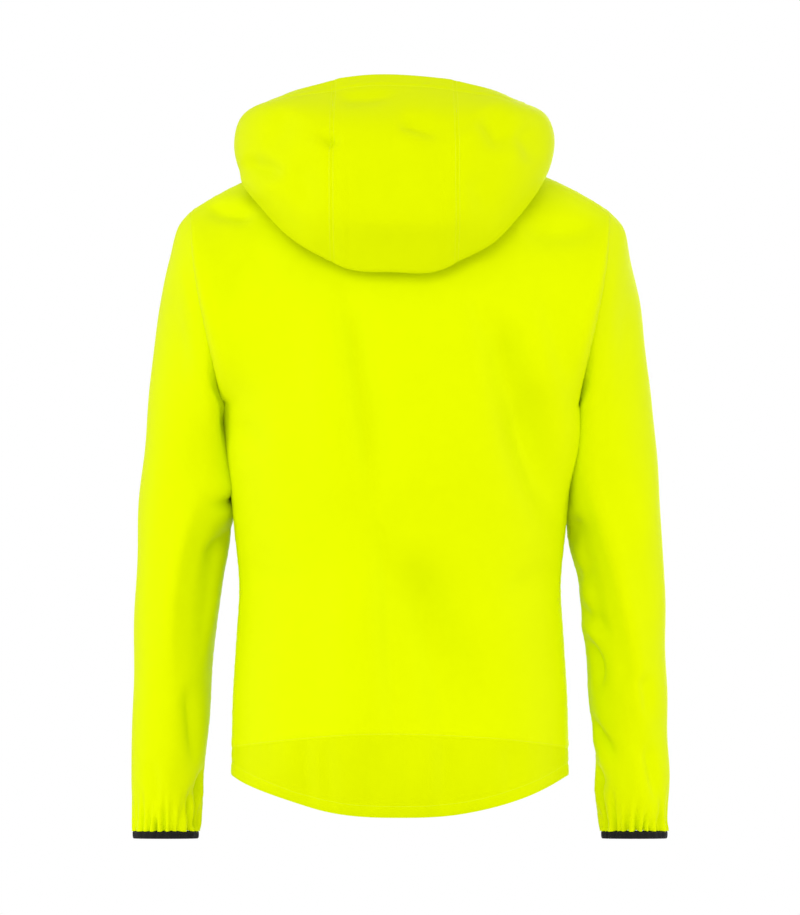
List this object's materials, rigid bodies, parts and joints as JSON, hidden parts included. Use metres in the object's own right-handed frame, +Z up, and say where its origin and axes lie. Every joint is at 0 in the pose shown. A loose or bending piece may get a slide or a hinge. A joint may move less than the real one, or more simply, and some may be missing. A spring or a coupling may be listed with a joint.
{
  "type": "rain jacket",
  "caption": "Hooded rain jacket in thin yellow cloth, hollow and filled out as if worn, hood down on the back, dropped back hem, gathered cuffs with dark elastic binding, closed front zip.",
  "frame": {"origin": "base of the neck on the line of the shoulders, where the wearer holds the jacket up", "axes": "+Z up, the front of the jacket faces -Y, the wearer's left is +X"},
  "size_m": [0.5712, 0.3058, 0.809],
  "materials": {
    "yellow_cloth": "matt, smooth coated plain weave",
    "black_elastic": "matt ribbed elastic",
    "zip_tape": "matt woven tape",
    "zip_coil": "satin",
    "zip_metal": "satin grey"
  },
  "bodies": {
    "jacket": {"back": "yellow_cloth", "back_hem_band": "yellow_cloth", "front_left": "yellow_cloth", "front_right": "yellow_cloth", "sleeve_left": "yellow_cloth", "sleeve_right": "yellow_cloth", "hood_centre": "yellow_cloth", "hood_left": "yellow_cloth", "hood_right": "yellow_cloth", "cuff_binding_left": "black_elastic", "cuff_binding_right": "black_elastic", "zip_tape_left": "zip_tape", "zip_tape_right": "zip_tape", "zip_coil": "zip_coil", "zip_slider": "zip_metal"},
    "pull": {"zip_pull": "zip_metal"}
  },
  "joints": [
    {"name": "pull_swing", "type": "hinge", "parent": "jacket", "child": "pull", "pos_m": [0, -0.08716, 0.02039], "axis": [-1, 0, 0], "range_deg": [0, 150]}
  ]
}
